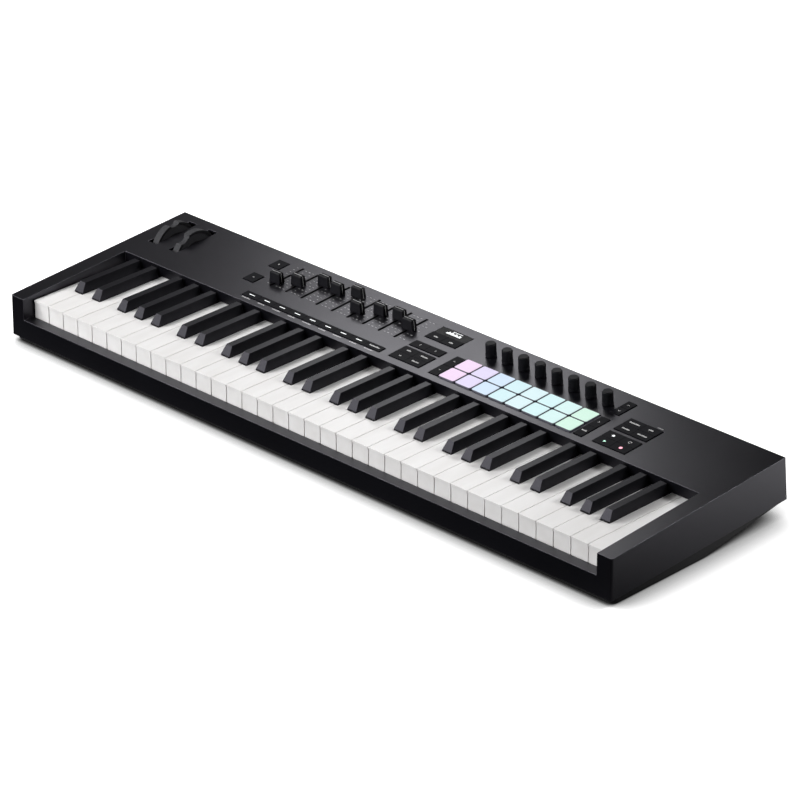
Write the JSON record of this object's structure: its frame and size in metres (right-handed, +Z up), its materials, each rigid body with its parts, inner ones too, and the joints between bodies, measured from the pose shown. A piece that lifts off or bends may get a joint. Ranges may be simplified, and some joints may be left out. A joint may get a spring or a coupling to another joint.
{
  "type": "synthesizer keyboard",
  "caption": "Wedge-shaped synthesizer keyboard with full-size keys, two wheels, faders, encoders, pads and panel buttons.",
  "frame": {"origin": "centre of the footprint, on the surface the feet stand on", "axes": "+X from the lowest key to the highest, +Y from the player to the back, +Z up"},
  "size_m": [0.8888, 0.2702, 0.0854],
  "materials": {
    "case_plastic": "satin charcoal moulded plastic",
    "base_plastic": "fine matt black moulded plastic",
    "foot_rubber": "matt black rubber",
    "screw_steel": "blackened steel",
    "chassis_plastic": "grey glass-filled plastic",
    "rod_steel": "ground steel",
    "felt": "red felt",
    "circuit_board": "green circuit board",
    "contact_silicone": "grey silicone",
    "switch_plastic": "black switch bodies",
    "plated_steel": "plated steel",
    "screen_glass": "glossy black display window",
    "socket_plastic": "black socket plastic",
    "white_key": "semi-gloss white key plastic",
    "black_key": "satin black key plastic",
    "wheel_rubber": "black wheel with a ribbed soft rim",
    "cap_plastic": "matt black cap",
    "pad_silicone": "translucent backlit silicone",
    "button_rubber": "matt black button caps"
  },
  "bodies": {
    "case": {"top_case": "case_plastic", "base_tray": "base_plastic", "rubber_feet": "foot_rubber", "case_screws": "screw_steel", "keybed_frame": "chassis_plastic", "key_pivot_rod": "rod_steel", "key_felt": "felt", "contact_board": "circuit_board", "contact_rubber": "contact_silicone", "main_board": "circuit_board", "tact_switches": "switch_plastic", "pad_sensor_board": "circuit_board", "fader_tracks": "switch_plastic", "encoder_bodies": "plated_steel", "wheel_bracket": "chassis_plastic", "display_module": "screen_glass", "io_board_sockets": "circuit_board", "sustain_jack": "socket_plastic"},
    "white_keys_low": {"white_keys_low": "white_key"},
    "black_keys_low": {"black_keys_low": "black_key"},
    "white_keys_high": {"white_keys_high": "white_key"},
    "black_keys_high": {"black_keys_high": "black_key"},
    "key_c": {"key_c": "white_key"},
    "key_d": {"key_d": "white_key"},
    "key_e": {"key_e": "white_key"},
    "key_f": {"key_f": "white_key"},
    "key_g": {"key_g": "white_key"},
    "key_a": {"key_a": "white_key"},
    "key_b": {"key_b": "white_key"},
    "key_c_sharp": {"key_c_sharp": "black_key"},
    "key_d_sharp": {"key_d_sharp": "black_key"},
    "key_f_sharp": {"key_f_sharp": "black_key"},
    "key_g_sharp": {"key_g_sharp": "black_key"},
    "key_a_sharp": {"key_a_sharp": "black_key"},
    "fader_1": {"fader_1": "cap_plastic"},
    "fader_2": {"fader_2": "cap_plastic"},
    "fader_3": {"fader_3": "cap_plastic"},
    "fader_4": {"fader_4": "cap_plastic"},
    "fader_5": {"fader_5": "cap_plastic"},
    "fader_6": {"fader_6": "cap_plastic"},
    "fader_7": {"fader_7": "cap_plastic"},
    "fader_8": {"fader_8": "cap_plastic"},
    "fader_9": {"fader_9": "cap_plastic"},
    "encoder_1": {"encoder_1": "cap_plastic"},
    "encoder_2": {"encoder_2": "cap_plastic"},
    "encoder_3": {"encoder_3": "cap_plastic"},
    "encoder_4": {"encoder_4": "cap_plastic"},
    "encoder_5": {"encoder_5": "cap_plastic"},
    "encoder_6": {"encoder_6": "cap_plastic"},
    "encoder_7": {"encoder_7": "cap_plastic"},
    "encoder_8": {"encoder_8": "cap_plastic"},
    "pitch_wheel": {"pitch_wheel": "wheel_rubber"},
    "mod_wheel": {"mod_wheel": "wheel_rubber"},
    "pads_front": {"pads_front": "pad_silicone"},
    "pads_back": {"pads_back": "pad_silicone"},
    "fader_buttons": {"fader_buttons": "button_rubber"},
    "octave_buttons": {"octave_buttons": "button_rubber"},
    "centre_buttons": {"centre_buttons": "button_rubber"},
    "pad_side_buttons": {"pad_side_buttons": "button_rubber"},
    "transport_buttons": {"transport_buttons": "button_rubber"}
  },
  "joints": [
    {"name": "white_keys_low_press", "type": "hinge", "parent": "case", "child": "white_keys_low", "pos_m": [0, 0.0443, 0.042], "axis": [1, 0, 0], "range_deg": [0, 3.1], "stiffness_Nm_per_rad": 12.6, "springref_deg": -6.88},
    {"name": "black_keys_low_press", "type": "hinge", "parent": "case", "child": "black_keys_low", "pos_m": [0, 0.0443, 0.042], "axis": [1, 0, 0], "range_deg": [0, 3.1], "stiffness_Nm_per_rad": 9, "springref_deg": -6.88},
    {"name": "white_keys_high_press", "type": "hinge", "parent": "case", "child": "white_keys_high", "pos_m": [0, 0.0443, 0.042], "axis": [1, 0, 0], "range_deg": [0, 3.1], "stiffness_Nm_per_rad": 13.5, "springref_deg": -6.88},
    {"name": "black_keys_high_press", "type": "hinge", "parent": "case", "child": "black_keys_high", "pos_m": [0, 0.0443, 0.042], "axis": [1, 0, 0], "range_deg": [0, 3.1], "stiffness_Nm_per_rad": 9, "springref_deg": -6.88},
    {"name": "key_c_press", "type": "hinge", "parent": "case", "child": "key_c", "pos_m": [0, 0.0443, 0.042], "axis": [1, 0, 0], "range_deg": [0, 3.1], "stiffness_Nm_per_rad": 0.9, "springref_deg": -6.88},
    {"name": "key_d_press", "type": "hinge", "parent": "case", "child": "key_d", "pos_m": [0, 0.0443, 0.042], "axis": [1, 0, 0], "range_deg": [0, 3.1], "stiffness_Nm_per_rad": 0.9, "springref_deg": -6.88},
    {"name": "key_e_press", "type": "hinge", "parent": "case", "child": "key_e", "pos_m": [0, 0.0443, 0.042], "axis": [1, 0, 0], "range_deg": [0, 3.1], "stiffness_Nm_per_rad": 0.9, "springref_deg": -6.88},
    {"name": "key_f_press", "type": "hinge", "parent": "case", "child": "key_f", "pos_m": [0, 0.0443, 0.042], "axis": [1, 0, 0], "range_deg": [0, 3.1], "stiffness_Nm_per_rad": 0.9, "springref_deg": -6.88},
    {"name": "key_g_press", "type": "hinge", "parent": "case", "child": "key_g", "pos_m": [0, 0.0443, 0.042], "axis": [1, 0, 0], "range_deg": [0, 3.1], "stiffness_Nm_per_rad": 0.9, "springref_deg": -6.88},
    {"name": "key_a_press", "type": "hinge", "parent": "case", "child": "key_a", "pos_m": [0, 0.0443, 0.042], "axis": [1, 0, 0], "range_deg": [0, 3.1], "stiffness_Nm_per_rad": 0.9, "springref_deg": -6.88},
    {"name": "key_b_press", "type": "hinge", "parent": "case", "child": "key_b", "pos_m": [0, 0.0443, 0.042], "axis": [1, 0, 0], "range_deg": [0, 3.1], "stiffness_Nm_per_rad": 0.9, "springref_deg": -6.88},
    {"name": "key_c_sharp_press", "type": "hinge", "parent": "case", "child": "key_c_sharp", "pos_m": [0, 0.0443, 0.042], "axis": [1, 0, 0], "range_deg": [0, 3.1], "stiffness_Nm_per_rad": 0.9, "springref_deg": -6.88},
    {"name": "key_d_sharp_press", "type": "hinge", "parent": "case", "child": "key_d_sharp", "pos_m": [0, 0.0443, 0.042], "axis": [1, 0, 0], "range_deg": [0, 3.1], "stiffness_Nm_per_rad": 0.9, "springref_deg": -6.88},
    {"name": "key_f_sharp_press", "type": "hinge", "parent": "case", "child": "key_f_sharp", "pos_m": [0, 0.0443, 0.042], "axis": [1, 0, 0], "range_deg": [0, 3.1], "stiffness_Nm_per_rad": 0.9, "springref_deg": -6.88},
    {"name": "key_g_sharp_press", "type": "hinge", "parent": "case", "child": "key_g_sharp", "pos_m": [0, 0.0443, 0.042], "axis": [1, 0, 0], "range_deg": [0, 3.1], "stiffness_Nm_per_rad": 0.9, "springref_deg": -6.88},
    {"name": "key_a_sharp_press", "type": "hinge", "parent": "case", "child": "key_a_sharp", "pos_m": [0, 0.0443, 0.042], "axis": [1, 0, 0], "range_deg": [0, 3.1], "stiffness_Nm_per_rad": 0.9, "springref_deg": -6.88},
    {"name": "fader_1_slide", "type": "slide", "parent": "case", "child": "fader_1", "axis": [0, 0.9983, 0.0589], "range_m": [-0.00849, 0.04001]},
    {"name": "fader_2_slide", "type": "slide", "parent": "case", "child": "fader_2", "axis": [0, 0.9983, 0.0589], "range_m": [-0.01843, 0.03007]},
    {"name": "fader_3_slide", "type": "slide", "parent": "case", "child": "fader_3", "axis": [0, 0.9983, 0.0589], "range_m": [-0.03613, 0.01237]},
    {"name": "fader_4_slide", "type": "slide", "parent": "case", "child": "fader_4", "axis": [0, 0.9983, 0.0589], "range_m": [-0.03201, 0.01649]},
    {"name": "fader_5_slide", "type": "slide", "parent": "case", "child": "fader_5", "axis": [0, 0.9983, 0.0589], "range_m": [-0.04001, 0.00849]},
    {"name": "fader_6_slide", "type": "slide", "parent": "case", "child": "fader_6", "axis": [0, 0.9983, 0.0589], "range_m": [-0.01455, 0.03395]},
    {"name": "fader_7_slide", "type": "slide", "parent": "case", "child": "fader_7", "axis": [0, 0.9983, 0.0589], "range_m": [-0.02668, 0.02183]},
    {"name": "fader_8_slide", "type": "slide", "parent": "case", "child": "fader_8", "axis": [0, 0.9983, 0.0589], "range_m": [-0.03177, 0.01673]},
    {"name": "fader_9_slide", "type": "slide", "parent": "case", "child": "fader_9", "axis": [0, 0.9983, 0.0589], "range_m": [-0.02183, 0.02668]},
    {"name": "encoder_1_turn", "type": "hinge", "parent": "case", "child": "encoder_1", "pos_m": [0.0642, 0.0982, 0.06868], "axis": [0, -0.0589, 0.9983], "continuous": true},
    {"name": "encoder_2_turn", "type": "hinge", "parent": "case", "child": "encoder_2", "pos_m": [0.088, 0.0982, 0.06868], "axis": [0, -0.0589, 0.9983], "continuous": true},
    {"name": "encoder_3_turn", "type": "hinge", "parent": "case", "child": "encoder_3", "pos_m": [0.1118, 0.0982, 0.06868], "axis": [0, -0.0589, 0.9983], "continuous": true},
    {"name": "encoder_4_turn", "type": "hinge", "parent": "case", "child": "encoder_4", "pos_m": [0.1356, 0.0982, 0.06868], "axis": [0, -0.0589, 0.9983], "continuous": true},
    {"name": "encoder_5_turn", "type": "hinge", "parent": "case", "child": "encoder_5", "pos_m": [0.1594, 0.0982, 0.06868], "axis": [0, -0.0589, 0.9983], "continuous": true},
    {"name": "encoder_6_turn", "type": "hinge", "parent": "case", "child": "encoder_6", "pos_m": [0.1832, 0.0982, 0.06868], "axis": [0, -0.0589, 0.9983], "continuous": true},
    {"name": "encoder_7_turn", "type": "hinge", "parent": "case", "child": "encoder_7", "pos_m": [0.207, 0.0982, 0.06868], "axis": [0, -0.0589, 0.9983], "continuous": true},
    {"name": "encoder_8_turn", "type": "hinge", "parent": "case", "child": "encoder_8", "pos_m": [0.2308, 0.0982, 0.06868], "axis": [0, -0.0589, 0.9983], "continuous": true},
    {"name": "pitch_wheel_turn", "type": "hinge", "parent": "case", "child": "pitch_wheel", "pos_m": [-0.4162, 0.08585, 0.04841], "axis": [-1, 0, 0], "range_deg": [-30, 30], "stiffness_Nm_per_rad": 0.25},
    {"name": "mod_wheel_turn", "type": "hinge", "parent": "case", "child": "mod_wheel", "pos_m": [-0.3834, 0.08585, 0.04841], "axis": [-1, 0, 0], "range_deg": [0, 56]},
    {"name": "pads_front_press", "type": "slide", "parent": "case", "child": "pads_front", "axis": [0, 0.0589, -0.9983], "range_m": [0, 0.0008], "stiffness_N_per_m": 2500, "springref_m": -0.0008},
    {"name": "pads_back_press", "type": "slide", "parent": "case", "child": "pads_back", "axis": [0, 0.0589, -0.9983], "range_m": [0, 0.0008], "stiffness_N_per_m": 2500, "springref_m": -0.0008},
    {"name": "fader_buttons_press", "type": "slide", "parent": "case", "child": "fader_buttons", "axis": [0, 0.0589, -0.9983], "range_m": [0, 0.0006], "stiffness_N_per_m": 1200, "springref_m": -0.0006},
    {"name": "octave_buttons_press", "type": "slide", "parent": "case", "child": "octave_buttons", "axis": [0, 0.0589, -0.9983], "range_m": [0, 0.0006], "stiffness_N_per_m": 1200, "springref_m": -0.0006},
    {"name": "centre_buttons_press", "type": "slide", "parent": "case", "child": "centre_buttons", "axis": [0, 0.0589, -0.9983], "range_m": [0, 0.0006], "stiffness_N_per_m": 1200, "springref_m": -0.0006},
    {"name": "pad_side_buttons_press", "type": "slide", "parent": "case", "child": "pad_side_buttons", "axis": [0, 0.0589, -0.9983], "range_m": [0, 0.0006], "stiffness_N_per_m": 1200, "springref_m": -0.0006},
    {"name": "transport_buttons_press", "type": "slide", "parent": "case", "child": "transport_buttons", "axis": [0, 0.0589, -0.9983], "range_m": [0, 0.0006], "stiffness_N_per_m": 1200, "springref_m": -0.0006}
  ]
}
